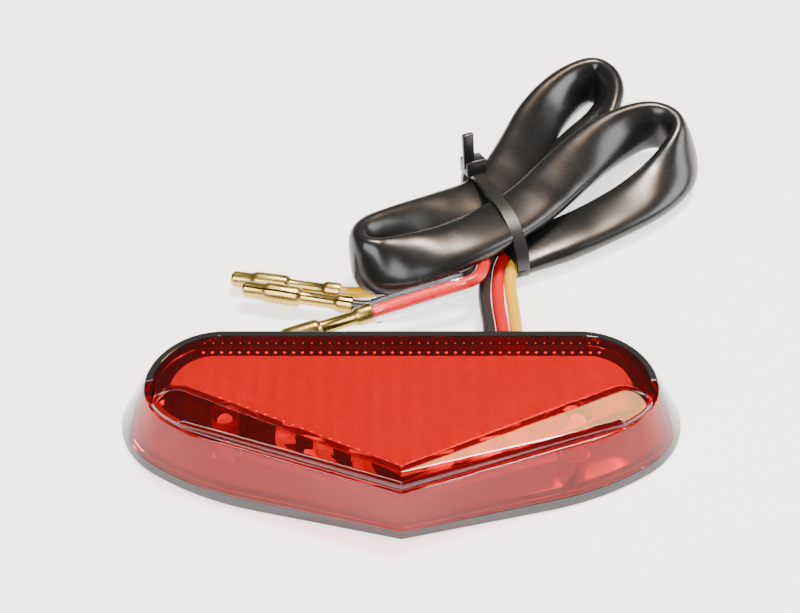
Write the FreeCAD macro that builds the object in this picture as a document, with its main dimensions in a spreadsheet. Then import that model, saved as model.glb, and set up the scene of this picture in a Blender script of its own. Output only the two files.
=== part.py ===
"""Slim LED tail light: black housing, red lens with a raised chevron, circuit board, and a sleeved harness.

The lamp lies on its mounting face. +X runs across the lamp, +Y towards its top edge, where the wires leave,
and +Z out of the lens. The origin is the middle of the mounting face. All lengths are millimetres.
"""
import FreeCAD, Part
import math
import os

import Sketcher

V = FreeCAD.Vector
doc = FreeCAD.newDocument("TailLight")
parts = []

# ---------------------------------------------------------------- driving sizes
SIZES = {
    # lamp envelope and the outline at its mounting face
    "lamp_width": 100.0, "lamp_height": 40.0, "lens_level": 11.0,
    "back_vee_angle": 13.5, "back_flank_run": 25.0, "back_blend_angle": 35.0, "back_corner_radius": 16.0,
    # the outline at the lens face, set in from the mounting face by the drafts
    "side_draft": 5.5, "top_draft": 1.8, "tip_draft": 0.8,
    "face_vee_angle": 19.6, "face_flank_run": 12.5, "face_blend_angle": 37.0, "face_corner_radius": 11.0,
    # housing and the stepped seam
    "housing_wall": 1.3, "floor_thickness": 1.3, "lip_level": 1.9, "step_low": 0.5, "step_high": 6.0,
    # lens
    "lens_gap": 0.1, "lens_wall": 1.6, "lens_thickness": 2.0, "skirt_depth": 3.2,
    "bar_height": 2.1, "bar_edge": 0.5, "bar_depth": 2.4, "bar_slope_run": 3.8, "bar_angle": 25.7,
    "bar_reach": 3.2, "bar_end_radius": 4.0, "bar_bevel": 0.6, "bar_end_gap": 0.3,
    "pin_spacing": 60.0, "pin_y": -1.0, "pin_radius": 2.4, "pin_hole_radius": 1.25, "pin_hole_depth": 5.0,
    # reflex reflector
    "reflector_thickness": 0.9, "reflector_gap": 0.15, "reflector_margin": 2.4, "reflector_angle": 26.0,
    "reflector_foot": 6.6,
    # seal
    "seal_gap": 0.15,
    # mounting inserts
    "mount_spacing": 70.0, "mount_y": 8.0, "insert_radius": 3.4, "insert_bore": 2.5, "insert_length": 6.0,
    "insert_wall": 1.5, "insert_grip": 0.05, "insert_knurl_depth": 0.25,
    # screws
    "screw_hole_gap": 0.3, "screw_radius": 1.3, "screw_head_radius": 2.5, "screw_head_height": 1.2,
    "screw_length": 5.0, "head_gap": 0.2,
    # circuit board
    "board_half_width": 26.0, "board_top": 10.0, "board_tip_gap": 5.4, "board_slope": 18.0,
    "board_level": 3.5, "board_thickness": 1.6,
    "post_spacing": 24.0, "post_y": 6.0, "post_radius": 2.2, "post_hole_radius": 0.95,
    "board_screw_radius": 1.0, "board_screw_head_radius": 1.9, "board_screw_head_height": 1.2,
    "board_screw_length": 3.2, "board_hole_gap": 0.2,
    # lamps and small components
    "led_length": 3.5, "led_width": 2.8, "led_height": 1.4, "led_lens_radius": 1.1, "led_lens_rise": 0.5,
    "led_first": 6.5, "led_pitch": 6.5, "led_row_offset": 4.6, "led_row_angle": 21.0,
    "plate_led_length": 3.4, "plate_led_width": 1.2, "plate_led_height": 1.6,
    "plate_led_first": 8.0, "plate_led_pitch": 8.0, "plate_led_offset": 0.9,
    "resistor_length": 3.2, "resistor_width": 1.6, "resistor_height": 0.6, "resistor_pitch": 5.0,
    "resistor_y": 2.0,
    "diode_length": 4.3, "diode_width": 2.6, "diode_height": 2.1, "diode_pitch": 10.0, "diode_y": 7.0,
    # carrier around the lamps
    "carrier_thickness": 0.8, "carrier_gap": 0.3, "carrier_depth": 7.4, "carrier_half_width": 24.0,
    "window_gap": 0.5, "carrier_rib": 1.2,
    # wires, grommet and sleeve
    "wire_radius": 1.2, "wire_pitch": 2.5, "exit_x": 18.8, "exit_level": 4.8,
    "grommet_wall": 0.7, "grommet_flange": 0.8, "grommet_flange_depth": 0.9,
    "solder_rise": 0.1, "lead_start": 1.6, "crimp_run": 3.0,
    "hank_bottom": 1.4, "hank_depth": 11.4, "hank_rise": 4.2,
    # cable tie
    "tie_width": 2.5, "tie_thickness": 1.1, "tie_gap": 0.25, "tie_angle": 111.4, "tie_half_span": 14.2,
    "tie_x": 18.75, "tie_y": 35.8, "tie_head_length": 4.4, "tie_head_width": 4.6, "tie_head_height": 3.4,
    "tie_tail_length": 7.0, "tie_tail_lean": 24.0,
    # bullet terminals and their insulating sleeves
    "nose_radius": 1.55, "nose_length": 4.2, "nose_round": 0.6, "barrel_radius": 1.95, "barrel_end": 11.0,
    "neck_radius": 1.3, "neck_end": 18.3, "crimp_radius": 1.75, "terminal_length": 21.5, "barrel_bevel": 0.7,
    "cover_clearance": 0.15, "cover_wall": 0.3, "cover_length": 18.0, "cover_gap": 0.4, "bend_gap": 1.8,
}

sheet = doc.addObject("Spreadsheet::Sheet", "Sizes")
for row, (alias, number) in enumerate(SIZES.items(), start=1):
    sheet.set(f"A{row}", alias)
    sheet.set(f"B{row}", str(number))
    sheet.setAlias(f"B{row}", alias)
doc.recompute()


def named(text):
    """Turn bare size names in a formula into references to the sheet."""
    words = sorted(SIZES, key=len, reverse=True)
    result = ""
    position = 0
    while position < len(text):
        match = next((w for w in words if text.startswith(w, position)), None)
        if match:
            result += "Sizes." + match
            position += len(match)
        else:
            result += text[position]
            position += 1
    return result


def value(text):
    """Work out a formula of size names as a plain number."""
    result = sheet.evalExpression(named(str(text)))
    return float(getattr(result, "Value", result))


def bind(thing, **formulas):
    """Bind properties to formulas; x, y and z stand for the placement's base."""
    for key, formula in formulas.items():
        path = f".Placement.Base.{key}" if key in ("x", "y", "z") else key
        thing.setExpression(path, named(str(formula)))


def keep(thing, label):
    """Count a finished object as the sub-part of this name."""
    thing.Label = label
    parts.append(thing)
    return thing


# ---------------------------------------------------------------- primitives and booleans
def box(name, length, width, height, x, y, z):
    """A box whose x and y are its middle and whose z is its underside."""
    thing = doc.addObject("Part::Box", name)
    bind(thing, Length=length, Width=width, Height=height)
    bind(thing, x=f"{x} - ({length}) / 2", y=f"{y} - ({width}) / 2", z=z)
    return thing


def cylinder(name, radius, height, x, y, z):
    thing = doc.addObject("Part::Cylinder", name)
    bind(thing, Radius=radius, Height=height, x=x, y=y, z=z)
    return thing


def cut(name, base, tool):
    thing = doc.addObject("Part::Cut", name)
    thing.Base = base
    thing.Tool = tool
    return thing


def common(name, first, second):
    thing = doc.addObject("Part::MultiCommon", name)
    thing.Shapes = [first, second]
    return thing


def fuse(name, shapes):
    thing = doc.addObject("Part::MultiFuse", name)
    thing.Shapes = shapes
    return thing


def group(name, shapes):
    thing = doc.addObject("Part::Compound", name)
    thing.Links = shapes
    return thing


def slab(name, bottom, top):
    """A slab far wider than the lamp, between two levels."""
    return box(name, "2 * lamp_width", "2 * lamp_width", f"({top}) - ({bottom})", "0", "0", bottom)


# ---------------------------------------------------------------- the lamp's outline
BACK = {
    "half": "lamp_width / 2", "low": "(-lamp_height / 2)", "high": "lamp_height / 2",
    "vee": "back_vee_angle", "run": "back_flank_run", "blend": "back_blend_angle",
    "corner": "back_corner_radius",
}
FACE = {
    "half": "(lamp_width / 2 - side_draft)", "low": "(tip_draft - lamp_height / 2)",
    "high": "(lamp_height / 2 - top_draft)", "vee": "face_vee_angle", "run": "face_flank_run",
    "blend": "face_blend_angle", "corner": "face_corner_radius",
}


def dimension(sketch, label, kind, arguments, formula):
    """Add a dimension and bind it to a formula."""
    index = sketch.addConstraint(Sketcher.Constraint(kind, *arguments, value(formula)))
    sketch.renameConstraint(index, label)
    sketch.setExpression(f"Constraints.{label}", named(formula))


def arc_between(centre, radius, start, end):
    circle = Part.Circle(V(*centre, 0), V(0, 0, 1), radius)
    return Part.ArcOfCircle(circle, start, end)


def outline(name, shape, level, inset="0"):
    """The lamp's closed outline: a shallow vee below, rounded flanks and a straight top edge.

    Each half runs from the vee's tip along a straight edge, a long flank arc, a lower corner arc that turns
    upright at the widest place, and a top corner arc. Inset moves the whole outline inwards.
    """
    vee = math.radians(value(shape["vee"]))
    blend = math.radians(value(shape["blend"]))
    tilt = f"sin({shape['vee']} * 1deg)"
    lean = f"sin({shape['blend']} * 1deg)"
    half = f"({shape['half']} - ({inset}))"
    corner = f"({shape['corner']} - ({inset}))"
    reach = f"({shape['half']} - {shape['run']} - ({inset}) * {tilt})"
    low = f"({shape['low']} + ({inset}) / cos({shape['vee']} * 1deg))"
    high = f"({shape['high']} - ({inset}))"
    flank = f"(({half} - {reach} - {corner} * (1 - {lean})) / ({lean} - {tilt}))"

    width, small, large = value(half), value(corner), value(flank)
    foot = V(value(reach), value(low) + value(reach) * math.tan(vee), 0)
    large_centre = foot + V(-math.sin(vee), math.cos(vee), 0) * large
    small_centre = large_centre + V(math.sin(blend), -math.cos(blend), 0) * (large - small)
    top = value(high)
    top_radius = top - small_centre.y
    top_centre = V(width - top_radius, small_centre.y, 0)
    right = math.pi / 2

    sketch = doc.addObject("Sketcher::SketchObject", name)
    bind(sketch, z=level)
    sketch.addGeometry([
        Part.LineSegment(V(0, value(low), 0), foot),
        arc_between((large_centre.x, large_centre.y), large, vee - right, blend - right),
        arc_between((small_centre.x, small_centre.y), small, blend - right, 0),
        arc_between((top_centre.x, top_centre.y), top_radius, 0, right),
        Part.LineSegment(V(top_centre.x, top, 0), V(-top_centre.x, top, 0)),
        arc_between((-top_centre.x, top_centre.y), top_radius, right, 2 * right),
        arc_between((-small_centre.x, small_centre.y), small, 2 * right, 3 * right - blend),
        arc_between((-large_centre.x, large_centre.y), large, 3 * right - blend, 3 * right - vee),
        Part.LineSegment(V(-foot.x, foot.y, 0), V(0, value(low), 0)),
    ], False)
    for edge in range(8):
        sketch.addConstraint(Sketcher.Constraint("Tangent", edge, 2, edge + 1, 1))
    sketch.addConstraint(Sketcher.Constraint("Coincident", 8, 2, 0, 1))
    sketch.addConstraint(Sketcher.Constraint("PointOnObject", 0, 1, -2))
    sketch.addConstraint(Sketcher.Constraint("Horizontal", 4))
    sketch.addConstraint(Sketcher.Constraint("Horizontal", 2, 2, 2, 3))
    sketch.addConstraint(Sketcher.Constraint("Horizontal", 6, 1, 6, 3))
    dimension(sketch, "tip", "DistanceY", (0, 1, -1, 1), f"-{low}")
    dimension(sketch, "top", "DistanceY", (-1, 1, 4, 1), high)
    dimension(sketch, "vee_right", "DistanceY", (0, 1, 0, 2), f"{reach} * tan({shape['vee']} * 1deg)")
    dimension(sketch, "reach_right", "DistanceX", (-1, 1, 0, 2), reach)
    dimension(sketch, "flank_right", "Radius", (1,), flank)
    dimension(sketch, "corner_right", "Radius", (2,), corner)
    dimension(sketch, "side_right", "DistanceX", (-1, 1, 2, 2), half)
    dimension(sketch, "vee_left", "DistanceY", (8, 2, 8, 1), f"{reach} * tan({shape['vee']} * 1deg)")
    dimension(sketch, "reach_left", "DistanceX", (8, 1, -1, 1), reach)
    dimension(sketch, "flank_left", "Radius", (7,), flank)
    dimension(sketch, "corner_left", "Radius", (6,), corner)
    dimension(sketch, "side_left", "DistanceX", (6, 1, -1, 1), half)
    return sketch


def lamp_form(name, inset="0"):
    """The drafted outer form of the lamp from mounting face to lens face, set in by a distance."""
    thing = doc.addObject("Part::Loft", name)
    thing.Sections = [outline(name + "_back", BACK, "0", inset),
                      outline(name + "_face", FACE, "lens_level", inset)]
    thing.Solid = True
    thing.Ruled = True
    return thing


def flat_profile(name, corners, plane="XY", level="0"):
    """A closed polygon whose corners are pairs of formulas, in the XY plane or upright in the YZ plane."""
    sketch = doc.addObject("Sketcher::SketchObject", name)
    if plane == "YZ":
        sketch.Placement = FreeCAD.Placement(V(0, 0, 0), FreeCAD.Rotation(V(1, 1, 1), 120))
        bind(sketch, x=level)
    else:
        bind(sketch, z=level)
    spots = [V(value(a), value(b), 0) for a, b in corners]
    count = len(spots)
    for i in range(count):
        sketch.addGeometry(Part.LineSegment(spots[i], spots[(i + 1) % count]), False)
    for i in range(count):
        sketch.addConstraint(Sketcher.Constraint("Coincident", i, 2, (i + 1) % count, 1))
    for i, (a, b) in enumerate(corners):
        place_point(sketch, f"p{i}", i, 1, a, b)
    return sketch


def place_point(sketch, label, edge, end, across, up):
    """Hold a point of a sketch at two formulas; a length of nothing is held on the axis instead."""
    for axis, kind, formula in ((-2, "DistanceX", across), (-1, "DistanceY", up)):
        amount = value(formula)
        if abs(amount) < 1e-9:
            sketch.addConstraint(Sketcher.Constraint("PointOnObject", edge, end, axis))
        else:
            dimension(sketch, label + kind[-1], kind, (-1, 1, edge, end), formula)


def raise_profile(name, sketch, height, both_ways=False, along=(0, 0, 1)):
    thing = doc.addObject("Part::Extrusion", name)
    thing.Base = sketch
    thing.DirMode = "Custom"
    thing.Dir = V(*along)
    thing.Solid = True
    thing.Symmetric = both_ways
    bind(thing, LengthFwd=height)
    return thing


# ---------------------------------------------------------------- bodies
def body(label):
    return keep(doc.addObject("PartDesign::Body", label), label)


def origin_plane(owner, role):
    return next(f for f in owner.Origin.OriginFeatures if f.Role == role)


def body_sketch(owner, name, role, offset="0"):
    sketch = owner.newObject("Sketcher::SketchObject", name)
    sketch.AttachmentSupport = (origin_plane(owner, role), [""])
    sketch.MapMode = "FlatFace"
    sketch.setExpression(".AttachmentOffset.Base.z", named(offset))
    return sketch


def body_polygon(owner, name, role, corners, offset="0"):
    """A closed polygon in a body's own sketch."""
    sketch = body_sketch(owner, name, role, offset)
    add_loop(sketch, corners, "p")
    return sketch


def add_loop(sketch, corners, prefix):
    start = sketch.GeometryCount
    spots = [V(value(a), value(b), 0) for a, b in corners]
    count = len(spots)
    for i in range(count):
        sketch.addGeometry(Part.LineSegment(spots[i], spots[(i + 1) % count]), False)
    for i in range(count):
        follower = start + (i + 1) % count
        sketch.addConstraint(Sketcher.Constraint("Coincident", start + i, 2, follower, 1))
    for i, (a, b) in enumerate(corners):
        place_point(sketch, f"{prefix}{i}", start + i, 1, a, b)


def add_circle(sketch, label, across, up, radius):
    centre = V(value(across), value(up), 0)
    edge = sketch.addGeometry(Part.Circle(centre, V(0, 0, 1), value(radius)), False)
    place_point(sketch, label, edge, 3, across, up)
    dimension(sketch, label + "R", "Radius", (edge,), radius)


def pad(owner, name, sketch, height):
    feature = owner.newObject("PartDesign::Pad", name)
    feature.Profile = sketch
    feature.setExpression("Length", named(height))
    return feature


def pocket_through(owner, name, sketch):
    feature = owner.newObject("PartDesign::Pocket", name)
    feature.Profile = sketch
    feature.Type = "ThroughAll"
    feature.Midplane = True
    return feature


def turned(label, profile):
    """A body turned about its own Z axis from (radius, height) formulas."""
    owner = body(label)
    sketch = body_polygon(owner, label + "_profile", "XZ_Plane", profile)
    feature = owner.newObject("PartDesign::Revolution", label + "_turn")
    feature.Profile = sketch
    feature.ReferenceAxis = (sketch, ["V_Axis"])
    feature.Angle = 360
    return owner


# ---------------------------------------------------------------- seam between housing and lens
def below_seam():
    """The room under the stepped seam: low along the vee, as high as the lens face along the top."""
    corners = [("-lamp_height", "-1"), ("lamp_height", "-1"), ("lamp_height", "lens_level"),
               ("step_high", "lens_level"), ("step_low", "lip_level"), ("-lamp_height", "lip_level")]
    profile = flat_profile("seam_profile", corners, "YZ")
    return raise_profile("under_seam", profile, "2 * lamp_width", True, (1, 0, 0))


outer_form = lamp_form("outer_form")
under_seam = below_seam()


def both_sides(name, maker, spacing):
    """Two copies of a piece, one at each side of the centre line."""
    return [maker(f"{name}_{side}", f"({sign}{spacing} / 2)") for side, sign in (("left", "-"), ("right", ""))]


# ---------------------------------------------------------------- rear housing
def make_housing():
    room = cut("housing_room", lamp_form("housing_inner", "housing_wall"),
               slab("housing_floor", "-1", "floor_thickness"))
    tray = cut("housing_tray", common("housing_block", outer_form, under_seam), room)
    mounts = both_sides("mount_post", lambda n, x: cylinder(
        n, "insert_radius + insert_wall", "insert_length + 0.6", x, "mount_y", "0"), "mount_spacing")
    posts = both_sides("board_post", lambda n, x: cylinder(
        n, "post_radius", "board_level", x, "post_y", "0"), "post_spacing")
    solid = fuse("housing_solid", [tray, common("mount_posts", fuse("mount_pair", mounts), outer_form)] + posts)
    holes = both_sides("insert_hole", lambda n, x: cylinder(
        n, "insert_radius - insert_grip", "insert_length", x, "mount_y", "0"), "mount_spacing")
    holes += both_sides("screw_hole", lambda n, x: cylinder(
        n, "screw_radius + screw_hole_gap", "floor_thickness + 1", x, "pin_y", "-0.5"), "pin_spacing")
    holes += both_sides("screw_recess", lambda n, x: cylinder(
        n, "screw_head_radius + head_gap", "screw_head_height + 0.1", x, "pin_y", "0"), "pin_spacing")
    holes += both_sides("post_hole", lambda n, x: cylinder(
        n, "post_hole_radius", "board_level", x, "post_y", "floor_thickness / 2"), "post_spacing")
    holes.append(exit_slot("exit_hole", "0"))
    keep(cut("rear_housing", solid, fuse("housing_holes", holes)), "rear_housing")


def exit_slot(name, grow):
    """The oblong wire exit through the top wall, grown all round by a distance."""
    radius = f"(wire_radius + grommet_wall + ({grow}))"
    middle = box(name + "_middle", "2 * wire_pitch", "lamp_height / 2", f"2 * {radius}",
                 "exit_x", "lamp_height / 2", f"exit_level - {radius}")
    ends = []
    for side, sign in (("left", "-"), ("right", "+")):
        end = cylinder(f"{name}_{side}", radius, "lamp_height / 2", f"exit_x {sign} wire_pitch",
                       "lamp_height / 4", "exit_level")
        end.Placement.Rotation = FreeCAD.Rotation(V(1, 0, 0), -90)
        ends.append(end)
    return fuse(name, [middle] + ends)


# ---------------------------------------------------------------- lens
def bar_outline(name, level, inset, back_inset):
    """One level of the chevron bar: front edge along the vee, back edge steeper, rounded outer ends."""
    front = f"(tip_draft - lamp_height / 2 + bar_edge + ({inset}) * 1.1)"
    depth = f"(bar_depth + bar_slope_run - ({back_inset}) - ({inset}))"
    reach = f"(lamp_width / 2 - side_draft - bar_reach - bar_end_radius - ({inset}))"
    low = f"({front} + {reach} * tan(face_vee_angle * 1deg) + bar_edge)"
    high = f"({front} + {depth} + {reach} * tan(bar_angle * 1deg))"
    sketch = doc.addObject("Sketcher::SketchObject", name)
    bind(sketch, z=level)
    tip, back = V(0, value(front), 0), V(0, value(f"{front} + {depth}"), 0)
    x, y_low, y_high = value(reach), value(low), value(high)
    bulge = value(f"bar_end_radius + bar_reach / 2 - ({inset})")
    middle = V(x + bulge, (y_low + y_high) / 2, 0)
    sketch.addGeometry([
        Part.LineSegment(tip, V(x, y_low, 0)),
        Part.Arc(V(x, y_low, 0), middle, V(x, y_high, 0)),
        Part.LineSegment(V(x, y_high, 0), back),
        Part.LineSegment(back, V(-x, y_high, 0)),
        Part.Arc(V(-x, y_high, 0), V(-middle.x, middle.y, 0), V(-x, y_low, 0)),
        Part.LineSegment(V(-x, y_low, 0), tip),
    ], False)
    for edge in range(6):
        sketch.addConstraint(Sketcher.Constraint("Coincident", edge, 2, (edge + 1) % 6, 1))
    place_point(sketch, "tip", 0, 1, "0", front)
    place_point(sketch, "right_low", 0, 2, reach, low)
    place_point(sketch, "right_high", 1, 2, reach, high)
    place_point(sketch, "back", 2, 2, "0", f"{front} + {depth}")
    place_point(sketch, "left_high", 3, 2, f"-{reach}", high)
    place_point(sketch, "left_low", 4, 2, f"-{reach}", low)
    span = f"({high} - {low})"
    swell = f"(bar_end_radius + bar_reach / 2 - ({inset}))"
    radius = f"({swell} / 2 + {span} * {span} / (8 * {swell}))"
    dimension(sketch, "end_right", "Radius", (1,), radius)
    dimension(sketch, "end_left", "Radius", (4,), radius)
    return sketch


def chevron_bar():
    """The raised bar: a sloping back, a narrow bevel along its crest and a flat facet on top."""
    bar = doc.addObject("Part::Loft", "chevron_bar")
    bar.Sections = [
        bar_outline("bar_foot", "lens_level - 0.4", "0", "0"),
        bar_outline("bar_shoulder", "lens_level + bar_height - bar_bevel", "0.1", "bar_slope_run - bar_bevel"),
        bar_outline("bar_facet", "lens_level + bar_height", "bar_bevel", "bar_slope_run"),
    ]
    bar.Solid = True
    bar.Ruled = True
    limit = raise_profile("bar_limit", outline("bar_limit_edge", FACE, "lens_level - 1", "bar_end_gap"),
                          "lens_level")
    return common("bar_trimmed", bar, limit)


def make_lens():
    above = cut("lens_skirt", outer_form, under_seam)
    plug = common("lens_plug", lamp_form("lens_plug_form", "housing_wall + lens_gap"),
                  slab("lens_plug_band", "lens_level - skirt_depth", "lens_level"))
    room = common("lens_room", lamp_form("lens_inner", "housing_wall + lens_gap + lens_wall"),
                  slab("lens_room_band", "-1", "lens_level - lens_thickness"))
    shell = cut("lens_shell", fuse("lens_block", [above, plug]), room)
    pins = both_sides("lens_pin", lambda n, x: cylinder(
        n, "pin_radius", "lens_level - floor_thickness - lens_thickness / 2", x, "pin_y",
        "floor_thickness"), "pin_spacing")
    solid = fuse("lens_solid", [shell, chevron_bar()] + pins)
    holes = both_sides("pin_hole", lambda n, x: cylinder(
        n, "pin_hole_radius", "pin_hole_depth", x, "pin_y", "floor_thickness"), "pin_spacing")
    keep(cut("lens", solid, fuse("pin_holes", holes)), "lens")


def make_reflector():
    """The prismatic plate behind the flat panel, cut off along the foot of the chevron bar."""
    form = lamp_form("reflector_form", "housing_wall + lens_gap + lens_wall + reflector_margin")
    top = "lens_level - lens_thickness - reflector_gap"
    plate = common("reflector_blank", form, slab("reflector_band", f"{top} - reflector_thickness", top))
    foot = "(reflector_foot - lamp_height / 2)"
    rise = "lamp_width * tan(reflector_angle * 1deg)"
    corners = [("0", foot), ("lamp_width", f"{foot} + {rise}"), ("lamp_width", "lamp_height * 2"),
               ("-lamp_width", "lamp_height * 2"), ("-lamp_width", f"{foot} + {rise}")]
    field = raise_profile("reflector_field", flat_profile("reflector_vee", corners), "lens_level")
    trimmed = common("reflector_trimmed", plate, field)
    holes = both_sides("reflector_hole", lambda n, x: cylinder(
        n, "pin_radius + reflector_gap", "2 * lens_level", x, "pin_y", "-1"), "pin_spacing")
    keep(cut("reflex_reflector", trimmed, fuse("reflector_holes", holes)), "reflex_reflector")


def make_seal():
    """The soft strip on the housing floor that the lens skirt presses on along the vee."""
    ring = cut("seal_ring", lamp_form("seal_outer", "housing_wall + seal_gap"),
               lamp_form("seal_inner", "housing_wall + lens_gap + lens_wall"))
    band = common("seal_band", ring, slab("seal_levels", "floor_thickness", "lip_level"))
    lower = box("seal_reach", "2 * lamp_width", "lamp_height", "lens_level", "0",
                "(step_low - lamp_height / 2)", "0")
    keep(common("lens_seal", band, lower), "lens_seal")


# ---------------------------------------------------------------- inserts and screws
def make_inserts():
    """Two knurled brass inserts moulded into the back."""
    pieces = []
    for side, sign in (("left", "-"), ("right", "")):
        place = {"x": f"{sign}mount_spacing / 2", "y": "mount_y"}
        barrel = cylinder(f"insert_{side}", "insert_radius", "insert_length - 0.1", z="0.1", **place)
        groove = cut(f"insert_groove_{side}",
                     cylinder(f"groove_out_{side}", "insert_radius + 1", "1", z="insert_length / 2", **place),
                     cylinder(f"groove_in_{side}", "insert_radius - insert_knurl_depth", "1",
                              z="insert_length / 2", **place))
        bore = cylinder(f"insert_bore_{side}", "insert_bore", "insert_length + 1", z="-0.5", **place)
        pieces.append(cut(f"insert_done_{side}", barrel, fuse(f"insert_cuts_{side}", [groove, bore])))
    keep(group("mounting_inserts", pieces), "mounting_inserts")


def screw(name, x, y, under_head, head, length, upside_down):
    """A pan-head screw on a Z line, with its cross recess; upside down puts the head below its shank."""
    head_radius, head_height, shank = head
    head_z = f"{under_head} - {head_height}" if upside_down else under_head
    shank_z = under_head if upside_down else f"{under_head} - {length}"
    cap = cylinder(name + "_head", head_radius, head_height, x, y, head_z)
    stem = cylinder(name + "_shank", shank, length, x, y, shank_z)
    slot_z = f"{head_z} - 0.1" if upside_down else f"{head_z} + {head_height} / 2"
    bars = [box(f"{name}_slot_{i}", a, b, f"{head_height} / 2 + 0.1", x, y, slot_z)
            for i, (a, b) in enumerate((("0.5", f"1.2 * {head_radius}"), (f"1.2 * {head_radius}", "0.5")))]
    return cut(name, fuse(name + "_solid", [cap, stem]), fuse(name + "_cross", bars))


def make_screws():
    lens_head = ("screw_head_radius", "screw_head_height", "screw_radius")
    keep(group("lens_screws", both_sides("lens_screw", lambda n, x: screw(
        n, x, "pin_y", "(screw_head_height + 0.1)", lens_head, "screw_length", True), "pin_spacing")),
        "lens_screws")
    board_head = ("board_screw_head_radius", "board_screw_head_height", "board_screw_radius")
    keep(group("board_screws", both_sides("board_screw", lambda n, x: screw(
        n, x, "post_y", "(board_level + board_thickness)", board_head, "board_screw_length", False),
        "post_spacing")), "board_screws")


# ---------------------------------------------------------------- circuit board and what is on it
BOARD_TOP = "(board_level + board_thickness)"
BOARD_TIP = "(board_tip_gap - lamp_height / 2)"


def make_board():
    owner = body("circuit_board")
    side = f"({BOARD_TIP} + board_half_width * tan(board_slope * 1deg))"
    corners = [("0", BOARD_TIP), ("board_half_width", side), ("board_half_width", "board_top"),
               ("-board_half_width", "board_top"), ("-board_half_width", side)]
    sketch = body_polygon(owner, "board_outline", "XY_Plane", corners, "board_level")
    pad(owner, "board_pad", sketch, "board_thickness")
    doc.recompute()
    holes = body_sketch(owner, "board_holes", "XY_Plane", "board_level")
    for label, sign in (("left", "-"), ("right", "")):
        add_circle(holes, label, f"{sign}post_spacing / 2", "post_y", "board_screw_radius + board_hole_gap")
    pocket_through(owner, "board_drill", holes)


def row_y(x, offset):
    """How far up the board a row that follows the vee is, at a distance from the centre line."""
    return f"({BOARD_TIP} + ({offset}) + ({x}) * tan(led_row_angle * 1deg))"


def make_lamps():
    """Six forward lamps along the vee, each a square body with a small domed lens."""
    pieces = []
    for step in range(3):
        reach = f"(led_first + {step} * led_pitch)"
        for side, sign in (("left", "-"), ("right", "")):
            name = f"led_{side}_{step}"
            y = row_y(reach, "led_row_offset")
            block = box(name + "_block", "led_length", "led_width", "led_height", f"({sign}{reach})", y,
                        BOARD_TOP)
            dome = cylinder(name + "_dome", "led_lens_radius", "led_height + led_lens_rise",
                            f"({sign}{reach})", y, BOARD_TOP)
            pieces.append(fuse(name, [block, dome]))
    keep(group("tail_leds", pieces), "tail_leds")


def make_plate_lamps():
    """Four side-facing lamps at the board's lower edge, which light the number plate."""
    pieces = []
    for step in range(2):
        reach = f"(plate_led_first + {step} * plate_led_pitch)"
        y = f"({BOARD_TIP} + plate_led_offset + {reach} * tan(board_slope * 1deg) + plate_led_width)"
        for side, sign in (("left", "-"), ("right", "")):
            pieces.append(box(f"plate_led_{side}_{step}", "plate_led_length", "plate_led_width",
                              "plate_led_height", f"({sign}{reach})", y, BOARD_TOP))
    keep(group("plate_leds", pieces), "plate_leds")


def make_small_parts():
    resistors = []
    for step in range(4):
        x = f"({step} - 1.5) * resistor_pitch"
        resistors.append(box(f"resistor_{step}", "resistor_width", "resistor_length", "resistor_height",
                             f"({x})", "resistor_y", BOARD_TOP))
    keep(group("resistors", resistors), "resistors")
    diodes = both_sides("diode", lambda n, x: box(
        n, "diode_length", "diode_width", "diode_height", x, "diode_y", BOARD_TOP), "diode_pitch")
    keep(group("protection_diodes", diodes), "protection_diodes")


def make_carrier():
    """A dark cover over the lamps: a vee-shaped plate with a window round each lamp and ribs to the board."""
    owner = body("led_carrier")
    tip = f"({BOARD_TIP} + plate_led_offset + 2 * plate_led_width + carrier_gap)"
    side = f"({tip} + carrier_half_width * tan(led_row_angle * 1deg))"
    corners = [("0", tip), ("carrier_half_width", side),
               ("carrier_half_width", f"{side} + carrier_depth - 2"),
               ("0", f"{tip} + carrier_depth - 2"),
               ("-carrier_half_width", f"{side} + carrier_depth - 2"), ("-carrier_half_width", side)]
    base = f"({BOARD_TOP} + led_height + led_lens_rise - carrier_thickness)"
    sketch = body_polygon(owner, "carrier_outline", "XY_Plane", corners, base)
    pad(owner, "carrier_plate", sketch, "carrier_thickness")
    doc.recompute()
    for step in range(3):
        reach = f"(led_first + {step} * led_pitch)"
        windows = body_sketch(owner, f"carrier_windows_{step}", "XY_Plane", base)
        for side_name, sign in (("left", "-"), ("right", "")):
            add_window(windows, side_name, f"{sign}{reach}", row_y(reach, "led_row_offset"))
        pocket_through(owner, f"carrier_cut_{step}", windows)
    foot = body_sketch(owner, "carrier_feet", "XY_Plane", BOARD_TOP)
    for step in range(2):
        reach = f"(led_first + {step} * led_pitch + led_pitch / 2)"
        for side_name, sign in (("left", "-"), ("right", "")):
            add_foot(foot, f"{side_name}{step}", f"{sign}{reach}", row_y(reach, "led_row_offset"))
    pad(owner, "carrier_legs", foot, "led_height + led_lens_rise - carrier_thickness / 2")


def rectangle(across, up, width, height):
    left, right = f"({across} - ({width}) / 2)", f"({across} + ({width}) / 2)"
    low, high = f"({up} - ({height}) / 2)", f"({up} + ({height}) / 2)"
    return [(left, low), (right, low), (right, high), (left, high)]


def add_window(sketch, label, across, up):
    add_loop(sketch, rectangle(across, up, "led_length + window_gap", "led_width + window_gap"), label)


def add_foot(sketch, label, across, up):
    add_loop(sketch, rectangle(across, up, "carrier_rib", "led_width"), label)


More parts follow.
